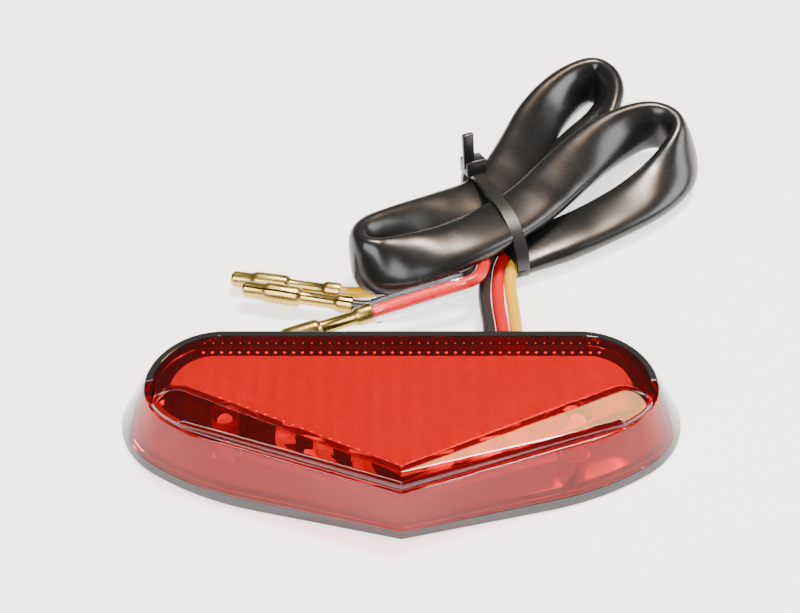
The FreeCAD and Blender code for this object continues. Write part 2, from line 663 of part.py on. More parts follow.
# ---------------------------------------------------------------- wires
def tube(label, points, radius):
    """A round tube whose path is straight runs joined by tangent arcs, as large as the runs allow."""
    spots = [V(*p) for p in points]
    edges = []
    start = spots[0]
    radii = []
    for before, corner, after in zip(spots, spots[1:], spots[2:]):
        back, ahead = before - corner, after - corner
        turn = math.pi - back.getAngle(ahead)
        shorter = min(back.Length, ahead.Length)
        trim = 0.45 * shorter
        radii.append(trim / math.tan(turn / 2))
        first, last = corner + back.normalize() * trim, corner + ahead.normalize() * trim
        middle_line = (back + ahead).normalize()
        rise = radii[-1] / math.cos(turn / 2) - radii[-1]
        edges.append(Part.LineSegment(start, first).toShape())
        edges.append(Part.Arc(first, corner + middle_line * rise, last).toShape())
        start = last
    edges.append(Part.LineSegment(start, spots[-1]).toShape())
    path = Part.Wire(edges)
    ring = Part.Wire(Part.Circle(spots[0], spots[1] - spots[0], radius).toShape())
    solid = path.makePipeShell([ring], True, True)
    expected = math.pi * radius ** 2 * path.Length
    print(f"{label}: length {path.Length:.1f}, radii {[round(r, 1) for r in radii]},"
          f" volume ratio {solid.Volume / expected:.4f}")
    thing = doc.addObject("Part::Feature", label)
    thing.Shape = solid
    return keep(thing, label)


WIRE_COLOURS = ("black", "red", "yellow")
# Each wire from the grommet into the sleeve, measured from where the middle wire leaves the grommet.
FRONT_ROUTES = {
    "black": [(-2.5, 0.0, 0.0), (-2.5, 4.6, 0.0), (-2.8, 9.8, -1.2), (-2.9, 15.0, -2.4), (-2.6, 19.7, -2.8),
              (-1.8, 25.3, -2.5), (0.6, 30.7, -2.0)],
    "red": [(0.0, 0.0, 0.0), (0.0, 4.8, 0.0), (-0.3, 10.0, -1.3), (-0.3, 15.2, -2.3), (-0.1, 20.1, -2.7),
            (0.8, 25.5, -2.4), (4.0, 30.3, -1.9)],
    "yellow": [(2.5, 0.0, 0.0), (2.5, 4.7, 0.0), (2.5, 9.9, -1.1), (2.3, 14.9, -1.9), (2.2, 20.1, -2.2),
               (3.6, 25.3, -1.8), (7.8, 29.3, -1.6)],
}


def grommet_face():
    """Where the wires leave the grommet: its outer flange face."""
    return value("lamp_height / 2 + grommet_flange_depth"), value("exit_level")


def make_wires():
    face, level = grommet_face()
    middle, radius = value("exit_x"), value("wire_radius")
    inner_face = value("lamp_height / 2 - housing_wall - grommet_flange_depth - top_draft")
    solder = value(BOARD_TOP) + radius + value("solder_rise")
    for colour, route in FRONT_ROUTES.items():
        x = middle + route[0][0]
        start = value("board_top - lead_start")
        tube(f"{colour}_lead_inner", [
            (x, start, solder), (x, start + 2.6, solder), (x, inner_face - 2.4, level),
            (x, inner_face, level)], radius)
        passage(colour, x, inner_face, face, level, radius)
        tube(f"{colour}_lead", [(middle + a, face + b, level + c) for a, b, c in route], radius)


def passage(colour, x, start, end, level, radius):
    """The wire's straight stretch through the grommet."""
    thing = doc.addObject("Part::Cylinder", f"{colour}_passage")
    thing.Radius = radius
    thing.Height = end - start
    thing.Placement = FreeCAD.Placement(V(x, start, level), FreeCAD.Rotation(V(1, 0, 0), -90))
    keep(thing, f"{colour}_lead_passage")


def make_grommet():
    """Rubber grommet: an oblong body in the top wall with a flange on each side and three wire holes."""
    core = exit_slot("grommet_core", "0")
    flanges = exit_slot("grommet_flanges", "grommet_flange")
    wall_in = "(lamp_height / 2 - housing_wall - top_draft)"
    reach = "(grommet_flange_depth + housing_wall + top_draft + grommet_flange_depth)"
    length = box("grommet_reach", "lamp_width", reach, "2 * lens_level", "0",
                 f"({wall_in} - grommet_flange_depth + {reach} / 2)", "-1")
    inside = cut("grommet_lobes", common("grommet_oval", flanges, length), outer_wall_band())
    body_piece = common("grommet_body", core, length)
    holes = []
    for index, colour in enumerate(WIRE_COLOURS):
        hole = cylinder(f"grommet_hole_{colour}", "wire_radius", "lamp_height",
                        f"exit_x + ({index} - 1) * wire_pitch", "0", "exit_level")
        hole.Placement.Rotation = FreeCAD.Rotation(V(1, 0, 0), -90)
        holes.append(hole)
    keep(cut("wire_grommet", fuse("grommet_solid", [inside, body_piece]), fuse("grommet_bores", holes)),
         "wire_grommet")


def outer_wall_band():
    """The band of room that the top wall takes up, where the grommet has its waist."""
    return cut("wall_band", outer_form, lamp_form("wall_band_inner", "housing_wall"))


# ---------------------------------------------------------------- sleeved harness, tied in a hank
# Plan corners of the hank; how far up is measured from the lamp's top edge.
HANK_EDGE = [
    (-11.5, 18.0), (-2.0, 16.0), (8.0, 19.5), (20.8, 22.4), (26.4, 24.6), (42.0, 31.5), (55.0, 39.5),
    (63.0, 49.0), (64.0, 60.0), (59.0, 68.0), (51.5, 71.0), (50.0, 81.0), (44.0, 88.0), (34.0, 84.5),
    (25.0, 72.0), (19.5, 58.0), (16.7, 49.2), (11.1, 47.0), (0.0, 42.6), (-9.0, 37.0), (-12.0, 29.0),
]
# Below the raised front strand the hank stands further back, which leaves room for the terminals' wires.
LOW_FRONT = [(-9.0, 27.0), (5.0, 26.0), (14.5, 24.5)]
RAISED_CORNERS = 3
RIGHT_LOOP_GAP = [(40.0, 43.5), (50.0, 49.5), (53.5, 55.0), (50.5, 57.5), (44.0, 51.5)]
UPPER_LOOP_GAP = [(30.0, 59.5), (33.5, 61.5), (39.5, 71.5), (38.5, 75.5), (35.0, 73.5)]


def make_hank():
    """The outer shape of the tied hank of sleeve, open through its two loops."""
    owner = body("harness_sleeve")
    low_edge = LOW_FRONT + HANK_EDGE[RAISED_CORNERS:-1]
    layers = (("low", low_edge, "hank_bottom", "hank_rise"),
              ("high", HANK_EDGE, "hank_bottom + hank_rise", "hank_depth - hank_rise"))
    for name, edge, level, depth in layers:
        sketch = body_sketch(owner, f"hank_{name}", "XY_Plane", level)
        for prefix, loop in (("edge", edge), ("right", RIGHT_LOOP_GAP), ("upper", UPPER_LOOP_GAP)):
            add_loop(sketch, [(str(x), f"lamp_height / 2 + {y}") for x, y in loop], prefix)
        pad(owner, f"hank_{name}_pad", sketch, depth)


def make_tie():
    """A nylon tie round the hank's waist: a loop, its head on top at the far side, and its cut tail."""
    span = "(2 * tie_half_span)"
    rise = "(hank_depth + 2 * tie_gap)"
    low = "(hank_bottom - tie_gap)"
    loop = cut("tie_loop",
               box("tie_outside", f"{span} + 2 * tie_thickness", "tie_width", f"{rise} + 2 * tie_thickness",
                   "0", "0", f"{low} - tie_thickness"),
               box("tie_inside", span, "2 * tie_width", rise, "0", "0", low))
    top = f"({low} + {rise})"
    head = box("tie_head", "tie_head_length", "tie_head_width", "tie_head_height",
               "(tie_half_span - tie_head_length)", "0", top)
    tail = box("tie_tail", "tie_thickness", "tie_width", "tie_tail_length",
               "(tie_half_span - tie_head_length)", "0", f"({top} + tie_head_height - 0.3)")
    tail.Placement.Rotation = FreeCAD.Rotation(V(0, 1, 0), value("tie_tail_lean"))
    solid = fuse("tie_solid", [loop, head, tail])
    solid.Placement = FreeCAD.Placement(V(value("tie_x"), value("lamp_height / 2 + tie_y"), 0),
                                        FreeCAD.Rotation(V(0, 0, 1), value("tie_angle")))
    keep(solid, "cable_tie")


# ---------------------------------------------------------------- terminals, covers and tail wires
# Each terminal's tip and a point its axis runs towards, and its wire's route beyond the crimp; how far up is
# measured from the lamp's top edge.
TERMINALS = {
    "yellow": {"tip": (-33.0, 21.4, 2.3), "towards": (-12.1, 17.9, 2.0)},
    "black": {"tip": (-30.5, 17.2, 3.6), "towards": (-10.6, 13.7, 2.7)},
    "red": {"tip": (-26.0, 2.6, 2.45), "towards": (-5.6, 9.05, 5.05)},
}
# thicker barrels lie further apart and higher
spread = value("barrel_radius") - 1.95
for colour, share in (("yellow", 2.2), ("black", 0.0), ("red", -1.2)):
    for key in ("tip", "towards"):
        x, y, z = TERMINALS[colour][key]
        TERMINALS[colour][key] = (x, y + share * spread, z + spread)
TAIL_ROUTES = {
    "yellow": [(-4.6, 18.6, 1.9), (0.3, 21.2, 1.8), (5.6, 23.8, 1.9), (9.0, 27.6, 1.8), (10.6, 32.4, 2.2),
               (13.0, 36.0, 2.6)],
    "black": [(13.0, 22.6, 2.9), (14.2, 26.6, 2.6), (13.8, 32.4, 2.7)],
    "red": [(14.2, 15.3, 7.6), (15.8, 19.2, 6.9), (16.1, 23.9, 5.6), (16.0, 28.4, 4.6), (16.8, 32.6, 3.5)],
}


def point_along(thing, start, direction):
    """Stand a piece that was made along +Z at a point, facing a direction."""
    thing.Placement = FreeCAD.Placement(V(*start), FreeCAD.Rotation(V(0, 0, 1), direction))


def make_terminal(colour, tip, tail):
    """A turned bullet terminal: rounded nose, thicker barrel, narrow neck and a crimp on the wire."""
    profile = [
        ("0", "0"), ("nose_radius - nose_round", "0"), ("nose_radius", "nose_round"),
        ("nose_radius", "nose_length"), ("barrel_radius", "nose_length + barrel_bevel"),
        ("barrel_radius", "barrel_end"), ("neck_radius", "barrel_end + barrel_bevel"),
        ("neck_radius", "neck_end"), ("crimp_radius", "neck_end + barrel_bevel / 2"),
        ("crimp_radius", "terminal_length"), ("0", "terminal_length"),
    ]
    direction = (V(*tail) - V(*tip)).normalize()
    terminal = turned(f"{colour}_terminal", profile)
    point_along(terminal, V(*tip), direction)
    return V(*tip) + direction * value("terminal_length"), direction


def make_cover(colour, start, direction):
    """A clear soft tube, loose on the wire, that slides forward over the terminal."""
    owner = body(f"{colour}_cover")
    sketch = body_sketch(owner, f"{colour}_cover_ring", "XY_Plane")
    add_circle(sketch, "outside", "0", "0", "barrel_radius + cover_clearance + cover_wall")
    add_circle(sketch, "inside", "0", "0", "barrel_radius + cover_clearance")
    pad(owner, f"{colour}_cover_pad", sketch, "cover_length")
    point_along(owner, start, direction)


def from_top_edge(point):
    """A point whose Y is measured from the lamp's top edge, as a vector."""
    return V(point[0], point[1] + value("lamp_height / 2"), point[2])


def make_tails():
    radius = value("wire_radius")
    for colour, ends in TERMINALS.items():
        crimp, direction = make_terminal(colour, from_top_edge(ends["tip"]), from_top_edge(ends["towards"]))
        route = [from_top_edge(p) for p in TAIL_ROUTES[colour]]
        if colour == "red":
            make_cover(colour, crimp + direction * value("cover_gap"), direction)
            route[0] = crimp + direction * (route[0] - crimp).Length
            print(f"red cover slides along {-direction}")
        else:
            route.insert(0, crimp + direction * value("crimp_run"))
        if colour == "black":
            run = (route[1] - route[0]).normalize()
            make_cover(colour, route[0] + run * value("bend_gap"), run)
            print(f"black cover slides along {run}")
        tube(f"{colour}_tail", [tuple(p) for p in [crimp] + route], radius)


# ---------------------------------------------------------------- build, check and write
make_housing()
make_lens()
make_reflector()
make_seal()
make_inserts()
make_screws()
make_board()
make_lamps()
make_plate_lamps()
make_small_parts()
make_carrier()
make_grommet()
make_wires()
make_hank()
make_tie()
make_tails()
doc.recompute()

broken = [o.Name for o in doc.Objects if "Invalid" in o.State or "Error" in o.State]
broken += [p.Label for p in parts if p.Shape.isNull() or not p.Shape.isValid()]
if broken:
    raise SystemExit(f"not built: {broken}")
os.makedirs("parts", exist_ok=True)
for part in parts:
    part.Shape.exportStep(f"parts/{part.Label}.step")
    bounds = part.Shape.BoundBox
    print(f"{part.Label}: {len(part.Shape.Solids)} solid, volume {part.Shape.Volume:.1f},"
          f" x {bounds.XMin:.1f} {bounds.XMax:.1f} y {bounds.YMin:.1f} {bounds.YMax:.1f}"
          f" z {bounds.ZMin:.1f} {bounds.ZMax:.1f}")
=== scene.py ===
# %% [markdown]
# # A slim tail light with its sleeved harness
# This lesson dresses a tail light that was designed in CAD. The CAD model gives every place and size, and
# the cells below give it its looks: clear red plastic over a prismatic reflector, glossy black plastic, a
# soft black sleeve, coloured wires and bright brass. All lengths are metres, in the CAD model's own frame,
# and a size written in millimetres is multiplied by MM.

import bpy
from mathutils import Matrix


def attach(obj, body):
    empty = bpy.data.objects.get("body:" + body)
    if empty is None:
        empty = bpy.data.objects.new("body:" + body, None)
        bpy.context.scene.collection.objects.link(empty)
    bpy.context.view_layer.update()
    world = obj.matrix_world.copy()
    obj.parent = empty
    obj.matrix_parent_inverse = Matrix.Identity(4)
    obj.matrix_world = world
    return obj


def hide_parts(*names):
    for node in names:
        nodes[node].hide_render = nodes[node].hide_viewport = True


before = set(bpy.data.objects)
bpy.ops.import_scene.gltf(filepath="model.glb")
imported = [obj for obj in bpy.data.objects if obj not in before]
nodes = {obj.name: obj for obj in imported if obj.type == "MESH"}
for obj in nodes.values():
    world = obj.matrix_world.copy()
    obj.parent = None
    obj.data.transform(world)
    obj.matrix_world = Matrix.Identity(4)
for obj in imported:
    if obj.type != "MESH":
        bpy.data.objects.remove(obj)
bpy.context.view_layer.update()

import math

import bmesh
import bpy
from mathutils import Matrix, Vector

MM = 0.001

# %% [markdown]
# ## Camera
# A short lens held close makes the near side of a small thing bulge. A longer lens from further back keeps
# its outline true, so this camera has a 67.5 mm lens. It stands straight in front of the lamp and looks
# down on it from 44 degrees above the table.

# %% Camera
CAMERA_PLACE = Vector((-0.00025, -0.17234, 0.20103))
CAMERA_AIM = Vector((-0.00025, 0.03584, 0.0))

camera_data = bpy.data.cameras.new("camera")
camera_data.lens = 67.5
camera_data.sensor_width = 36.0
camera = bpy.data.objects.new("camera", camera_data)
camera.location = CAMERA_PLACE
camera.rotation_euler = (CAMERA_AIM - CAMERA_PLACE).to_track_quat("-Z", "Y").to_euler()
bpy.context.scene.collection.objects.link(camera)
bpy.context.scene.camera = camera
print("camera at", [round(c, 3) for c in camera.location])

# %% [markdown]
# ## Table
# The lamp lies on a pale table that reaches out of sight and throws light back up at it. A backdrop bent up
# behind the lamp is the other usual way, but glossy plastic would mirror its bend.

# %% Table
TABLE_HALF_WIDTH = 6.0
TABLE_DROP = 0.0002


def table_top():
    sheet = bmesh.new()
    bmesh.ops.create_grid(sheet, x_segments=4, y_segments=4, size=TABLE_HALF_WIDTH)
    bmesh.ops.translate(sheet, verts=sheet.verts, vec=(0, 0, -TABLE_DROP))
    mesh = bpy.data.meshes.new("table_top")
    sheet.to_mesh(mesh)
    sheet.free()
    top = bpy.data.objects.new("table_top", mesh)
    bpy.context.scene.collection.objects.link(top)
    return top


table = table_top()
print("table:", 2 * TABLE_HALF_WIDTH, "m wide,", TABLE_DROP, "m under the lamp")

# %% [markdown]
# ## Light
# Glossy things show the room more than themselves, so each light is placed for its reflection. A softbox
# high on the right gives the chevron's right arm its bright sheen and lays a long highlight on the black
# sleeve, while the left arm mirrors a dark ceiling. A wide, dim panel behind the camera lifts the fronts.
# Point lamps would be quicker to place, but gloss shows them as hard white dots.

# %% Softboxes
def softbox(name, place, aim, width, depth, power, colour=(1, 1, 1)):
    data = bpy.data.lights.new(name, "AREA")
    data.shape = "RECTANGLE"
    data.size = width
    data.size_y = depth
    data.energy = power
    data.color = colour
    lamp = bpy.data.objects.new(name, data)
    lamp.location = place
    lamp.rotation_euler = (Vector(aim) - Vector(place)).to_track_quat("-Z", "Y").to_euler()
    bpy.context.scene.collection.objects.link(lamp)
    return lamp


softbox("key", (0.24, 0.36, 0.84), (0.03, -0.005, 0.012), 0.32, 0.22, 5.5, (1.0, 0.53, 0.2))
softbox("top", (0.19, 0.40, 1.08), (0.02, 0.04, 0.0), 0.34, 0.16, 20.0)
softbox("fill", (-0.35, -0.75, 0.85), (0.0, 0.03, 0.0), 1.0, 0.7, 20.0, (0.98, 0.99, 1.0))
softbox("side", (0.9, 0.1, 0.45), (0.0, 0.03, 0.0), 0.5, 0.4, 6.0)

# %% Room light
ROOM_STRENGTH = 0.16

world = bpy.data.worlds.new("room")
world.use_nodes = True
world.node_tree.nodes["Background"].inputs["Color"].default_value = (1.0, 1.0, 1.0, 1)
world.node_tree.nodes["Background"].inputs["Strength"].default_value = ROOM_STRENGTH
bpy.context.scene.world = world
print("room light:", ROOM_STRENGTH)

# %% [markdown]
# ## Shared surface effects
# No real surface is perfectly even. The same few nodes could be copied into every material, but a node
# group is built once and placed in each finish with its own values, so a change is made in one place.

# %% Building a node group
def effect(name, inputs, outputs):
    """An empty node group with named sockets."""
    group = bpy.data.node_groups.new(name, "ShaderNodeTree")
    for label, kind, value in inputs:
        socket = group.interface.new_socket(label, in_out="INPUT", socket_type=kind)
        socket.default_value = value
    for label, kind in outputs:
        group.interface.new_socket(label, in_out="OUTPUT", socket_type=kind)
    start = group.nodes.new("NodeGroupInput")
    end = group.nodes.new("NodeGroupOutput")
    return group, start, end


def wire_up(tree, pairs):
    for a, b in pairs:
        tree.links.new(a, b)


print("groups so far:", len(bpy.data.node_groups))

# %% [markdown]
# ## Surface marks
# Handling leaves patches that are a little duller, and moulding leaves a fine grain. Broad noise moves the
# roughness up and down around its value, and fine noise gives a height for a bump.

# %% Surface marks
def make_surface_marks():
    group, start, end = effect("surface marks", [
        ("Grain Scale", "NodeSocketFloat", 900.0), ("Patch Scale", "NodeSocketFloat", 60.0),
        ("Roughness", "NodeSocketFloat", 0.3), ("Spread", "NodeSocketFloat", 0.06),
        ("Height", "NodeSocketFloat", 1.0)],
        [("Roughness", "NodeSocketFloat"), ("Height", "NodeSocketFloat")])
    spot = group.nodes.new("ShaderNodeTexCoord")
    grain = group.nodes.new("ShaderNodeTexNoise")
    patch = group.nodes.new("ShaderNodeTexNoise")
    patch.inputs["Detail"].default_value = 4.0
    rough = group.nodes.new("ShaderNodeMapRange")
    rough.inputs["From Min"].default_value = 0.3
    rough.inputs["From Max"].default_value = 0.7
    low = group.nodes.new("ShaderNodeMath")
    low.operation = "SUBTRACT"
    high = group.nodes.new("ShaderNodeMath")
    high.operation = "ADD"
    height = group.nodes.new("ShaderNodeMath")
    height.operation = "MULTIPLY"
    wire_up(group, [
        (spot.outputs["Object"], grain.inputs["Vector"]), (spot.outputs["Object"], patch.inputs["Vector"]),
        (start.outputs["Grain Scale"], grain.inputs["Scale"]),
        (start.outputs["Patch Scale"], patch.inputs["Scale"]),
        (start.outputs["Roughness"], low.inputs[0]), (start.outputs["Spread"], low.inputs[1]),
        (start.outputs["Roughness"], high.inputs[0]), (start.outputs["Spread"], high.inputs[1]),
        (patch.outputs["Fac"], rough.inputs["Value"]), (low.outputs[0], rough.inputs["To Min"]),
        (high.outputs[0], rough.inputs["To Max"]), (rough.outputs["Result"], end.inputs["Roughness"]),
        (grain.outputs["Fac"], height.inputs[0]), (start.outputs["Height"], height.inputs[1]),
        (height.outputs[0], end.inputs["Height"])])
    return group


surface_marks = make_surface_marks()
print("effect:", surface_marks.name, len(surface_marks.nodes), "nodes")

# %% [markdown]
# ## Colour drift
# Pigment and tarnish are never the same all over. Soft noise blends two close colours. A painted texture
# could say exactly where, but noise needs no file and no unwrapping.

# %% Colour drift
def make_colour_drift():
    group, start, end = effect("colour drift", [
        ("Colour", "NodeSocketColor", (0.5, 0.5, 0.5, 1)), ("Other", "NodeSocketColor", (0.4, 0.4, 0.4, 1)),
        ("Scale", "NodeSocketFloat", 80.0), ("Amount", "NodeSocketFloat", 0.5)],
        [("Colour", "NodeSocketColor")])
    spot = group.nodes.new("ShaderNodeTexCoord")
    cloud = group.nodes.new("ShaderNodeTexNoise")
    cloud.inputs["Detail"].default_value = 5.0
    amount = group.nodes.new("ShaderNodeMath")
    amount.operation = "MULTIPLY"
    mix = group.nodes.new("ShaderNodeMix")
    mix.data_type = "RGBA"
    wire_up(group, [
        (spot.outputs["Object"], cloud.inputs["Vector"]), (start.outputs["Scale"], cloud.inputs["Scale"]),
        (cloud.outputs["Fac"], amount.inputs[0]), (start.outputs["Amount"], amount.inputs[1]),
        (amount.outputs[0], mix.inputs[0]), (start.outputs["Colour"], mix.inputs[6]),
        (start.outputs["Other"], mix.inputs[7]), (mix.outputs[2], end.inputs["Colour"])])
    return group


colour_drift = make_colour_drift()
print("effects:", [g.name for g in bpy.data.node_groups])

# %% [markdown]
# ## Plain finishes
# Rubber, moulded plastic, brass and zinc look unlike each other, but each is a drifting colour, a marked
# roughness and a small bump that feed one Principled shader. So one function makes them all, and only the
# values differ. Separate materials built by hand would drift apart as they are corrected.

# %% One function for the plain finishes
def finish(name, colour, other, roughness, spread=0.06, bump=0.1, bump_depth=0.00005, grain=900.0, patch=60.0,
           metallic=0.0, coat=0.0, drift=0.6):
    material = bpy.data.materials.new(name)
    material.use_nodes = True
    tree = material.node_tree
    shader = tree.nodes["Principled BSDF"]
    shader.inputs["Metallic"].default_value = metallic
    shader.inputs["Coat Weight"].default_value = coat
    shader.inputs["Coat Roughness"].default_value = 0.08
    marks = tree.nodes.new("ShaderNodeGroup")
    marks.node_tree = surface_marks
    for key, value in (("Grain Scale", grain), ("Patch Scale", patch), ("Roughness", roughness),
                       ("Spread", spread)):
        marks.inputs[key].default_value = value
    tint = tree.nodes.new("ShaderNodeGroup")
    tint.node_tree = colour_drift
    tint.inputs["Colour"].default_value = (*colour, 1)
    tint.inputs["Other"].default_value = (*other, 1)
    tint.inputs["Amount"].default_value = drift
    tint.inputs["Scale"].default_value = patch * 2
    dent = tree.nodes.new("ShaderNodeBump")
    dent.inputs["Strength"].default_value = bump
    dent.inputs["Distance"].default_value = bump_depth
    wire_up(tree, [
        (tint.outputs["Colour"], shader.inputs["Base Color"]),
        (marks.outputs["Roughness"], shader.inputs["Roughness"]),
        (marks.outputs["Height"], dent.inputs["Height"]), (dent.outputs["Normal"], shader.inputs["Normal"])])
    return material


# %% Table finish
TABLE_GLOW = 1.5

pale_table = finish("pale_table", (0.9, 0.9, 0.895), (0.88, 0.88, 0.88), 0.6, bump=0.02, patch=6.0,
                    grain=400.0)
glow = pale_table.node_tree.nodes["Principled BSDF"]
glow.inputs["Emission Color"].default_value = (1.0, 1.0, 1.0, 1)
glow.inputs["Emission Strength"].default_value = TABLE_GLOW
table.data.materials.append(pale_table)
print("table glows at", TABLE_GLOW)

# %% Finishes of the solid parts
black_plastic = finish("black_plastic", (0.012, 0.012, 0.012), (0.02, 0.02, 0.02), 0.12, 0.04, coat=0.4)
black_rubber = finish("black_rubber", (0.022, 0.022, 0.022), (0.03, 0.03, 0.03), 0.6, 0.1, 0.3)
black_nylon = finish("black_nylon", (0.008, 0.008, 0.0075), (0.014, 0.014, 0.013), 0.34, 0.08, 0.25,
                     grain=1500.0)
brass = finish("brass", (0.62, 0.45, 0.13), (0.42, 0.29, 0.07), 0.27, 0.1, 0.3, grain=1800.0, patch=220.0,
               metallic=1.0, drift=0.9)
zinc = finish("zinc", (0.62, 0.62, 0.6), (0.5, 0.49, 0.46), 0.3, 0.1, 0.3, grain=2200.0, metallic=1.0)
board_green = finish("board_green", (0.02, 0.12, 0.05), (0.03, 0.19, 0.08), 0.35, 0.1, 0.2, patch=400.0)
chip_black = finish("chip_black", (0.02, 0.02, 0.02), (0.05, 0.05, 0.05), 0.45, 0.1, 0.2, patch=500.0)
led_amber = finish("led_amber", (0.95, 0.55, 0.12), (0.9, 0.35, 0.05), 0.15, 0.05, patch=500.0, coat=0.6)
led_white = finish("led_white", (0.85, 0.8, 0.62), (0.8, 0.66, 0.3), 0.2, 0.05, patch=500.0, coat=0.6)
WIRE_COLOURS = {
    "black": ((0.02, 0.02, 0.02), (0.03, 0.03, 0.03)),
    "red": ((0.6, 0.004, 0.006), (0.5, 0.004, 0.006)),
    "yellow": ((0.78, 0.42, 0.004), (0.68, 0.35, 0.003)),
}
wire_finish = {name: finish(f"{name}_insulation", colour, other, 0.3, 0.06, 0.15, grain=1200.0)
               for name, (colour, other) in WIRE_COLOURS.items()}
print(len(bpy.data.materials), "finishes")

# %% [markdown]
# ## Clear finishes
# Red lens plastic is glass to the renderer. True glass would leave the inside dark or grainy, because few
# light paths find their way through it. So a ray that only carries shadow passes as if through a plain red
# filter, and every other ray sees glass. A little of the base colour scatters, as it does in real moulded
# acrylic.

# %% Clear finishes
def clear_finish(name, colour, filter_colour, roughness, share, ior=1.49, bump=0.05, grain=700.0):
    material = bpy.data.materials.new(name)
    material.use_nodes = True
    tree = material.node_tree
    shader = tree.nodes["Principled BSDF"]
    shader.inputs["Base Color"].default_value = (*colour, 1)
    shader.inputs["IOR"].default_value = ior
    shader.inputs["Transmission Weight"].default_value = share
    marks = tree.nodes.new("ShaderNodeGroup")
    marks.node_tree = surface_marks
    marks.inputs["Roughness"].default_value = roughness
    marks.inputs["Spread"].default_value = roughness * 0.4
    marks.inputs["Grain Scale"].default_value = grain
    dent = tree.nodes.new("ShaderNodeBump")
    dent.inputs["Strength"].default_value = bump
    dent.inputs["Distance"].default_value = 0.00004
    passing = tree.nodes.new("ShaderNodeBsdfTransparent")
    passing.inputs["Color"].default_value = (*filter_colour, 1)
    light = tree.nodes.new("ShaderNodeLightPath")
    mix = tree.nodes.new("ShaderNodeMixShader")
    wire_up(tree, [
        (marks.outputs["Roughness"], shader.inputs["Roughness"]),
        (marks.outputs["Height"], dent.inputs["Height"]), (dent.outputs["Normal"], shader.inputs["Normal"]),
        (light.outputs["Is Shadow Ray"], mix.inputs[0]), (shader.outputs[0], mix.inputs[1]),
        (passing.outputs[0], mix.inputs[2]),
        (mix.outputs[0], tree.nodes["Material Output"].inputs["Surface"])])
    return material


red_lens = clear_finish("red_lens", (0.8, 0.012, 0.008), (0.86, 0.06, 0.045), 0.02, 0.985)
red_wall = clear_finish("red_wall", (0.72, 0.007, 0.005), (0.88, 0.1, 0.08), 0.06, 0.84, ior=1.4, bump=0.02,
                        grain=260.0)
clear_tube = clear_finish("clear_tube", (0.98, 0.985, 1.0), (0.97, 0.98, 0.99), 0.03, 1.0, ior=1.48)
red_wall.node_tree.nodes["Principled BSDF"].inputs["Specular IOR Level"].default_value = 0.25
print("clear finishes:", red_lens.name, red_wall.name, clear_tube.name)

# %% [markdown]
# ## Keeping a finished piece tidy
# Each new piece ends the same way: its bmesh becomes a mesh at the origin, takes a finish, rides on a CAD
# body and hides the CAD solid it stands for. Doing that by hand for each piece invites a forgotten step, so
# one function does it.

# %% Finishing a piece
def piece(name, shape, materials, body="lamp", instead=(), smooth=35.0):
    mesh = bpy.data.meshes.new(name)
    shape.to_mesh(mesh)
    shape.free()
    mesh.polygons.foreach_set("use_smooth", [True] * len(mesh.polygons))
    mesh.set_sharp_from_angle(angle=math.radians(smooth))
    made = bpy.data.objects.new(name, mesh)
    bpy.context.scene.collection.objects.link(made)
    for material in (materials if isinstance(materials, (list, tuple)) else [materials]):
        mesh.materials.append(material)
    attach(made, body)
    if instead:
        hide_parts(*instead)
    print(f"{name}: {len(mesh.polygons)} faces")
    return made


def dress(node, material):
    """Give a carried-over CAD node its finish."""
    mesh = nodes[node].data
    mesh.materials.clear()
    mesh.materials.append(material)


# %% [markdown]
# ## Wires
# Three coloured wires leave the lamp, go through the sleeve and come out again towards their terminals. A
# swept mesh could follow their arcs, but it looks like bent rod. A NURBS curve with a round bevel glides
# past its control points, as a soft wire does, and its control points are the corners of the CAD route.

# %% Wire routes
WIRE_RADIUS = 1.2
LEADS = {
    "black": [(16.3, 20.9, 4.8), (16.3, 25.5, 4.8), (16.0, 30.7, 3.6), (15.9, 35.9, 2.4), (16.2, 40.6, 2.0),
              (17.0, 46.2, 2.3), (19.4, 51.6, 2.8)],
    "red": [(18.8, 20.9, 4.8), (18.8, 25.7, 4.8), (18.5, 30.9, 3.5), (18.5, 36.1, 2.5), (18.7, 41.0, 2.1),
            (19.6, 46.4, 2.4), (22.8, 51.2, 2.9)],
    "yellow": [(21.3, 20.9, 4.8), (21.3, 25.6, 4.8), (21.3, 30.8, 3.7), (21.1, 35.8, 2.9), (21.0, 41.0, 2.6),
               (22.4, 46.2, 3.0), (26.6, 50.2, 3.2)],
}
TAILS = {
    "yellow": [(-11.8, 37.84, 2.0), (-8.84, 37.35, 1.95), (-4.6, 38.6, 1.9), (0.3, 41.2, 1.8),
               (5.6, 43.8, 1.9), (9.0, 47.6, 1.8), (10.6, 52.4, 2.2), (13.0, 56.0, 2.6)],
    "black": [(-9.35, 33.48, 2.64), (-6.39, 32.96, 2.51), (-3.7, 34.3, 2.56), (9.25, 40.73, 2.83),
              (13.0, 42.6, 2.9), (14.2, 46.6, 2.6), (13.8, 52.4, 2.7)],
    "red": [(-5.65, 29.03, 5.04), (10.17, 34.04, 7.06), (14.2, 35.31, 7.57), (15.8, 39.2, 6.9),
            (16.1, 43.9, 5.6), (16.0, 48.4, 4.6), (16.8, 52.6, 3.5)],
}
print(len(LEADS), "leads and", len(TAILS), "tails")


# %% Wires
def route_curve(name, points, radius=0.0):
    data = bpy.data.curves.new(name, "CURVE")
    data.dimensions = "3D"
    data.resolution_u = 12
    spline = data.splines.new("NURBS")
    spline.points.add(len(points) - 1)
    for knot, spot in zip(spline.points, points):
        knot.co = (spot[0] * MM, spot[1] * MM, spot[2] * MM, 1)
    spline.order_u = 3
    spline.use_endpoint_u = True
    data.bevel_depth = radius * MM
    data.bevel_resolution = 5
    return data


def lay_wire(name, points, material, instead):
    curve = bpy.data.objects.new(name, route_curve(name, points, WIRE_RADIUS))
    bpy.context.scene.collection.objects.link(curve)
    curve.data.materials.append(material)
    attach(curve, "lamp")
    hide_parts(instead)
    return curve


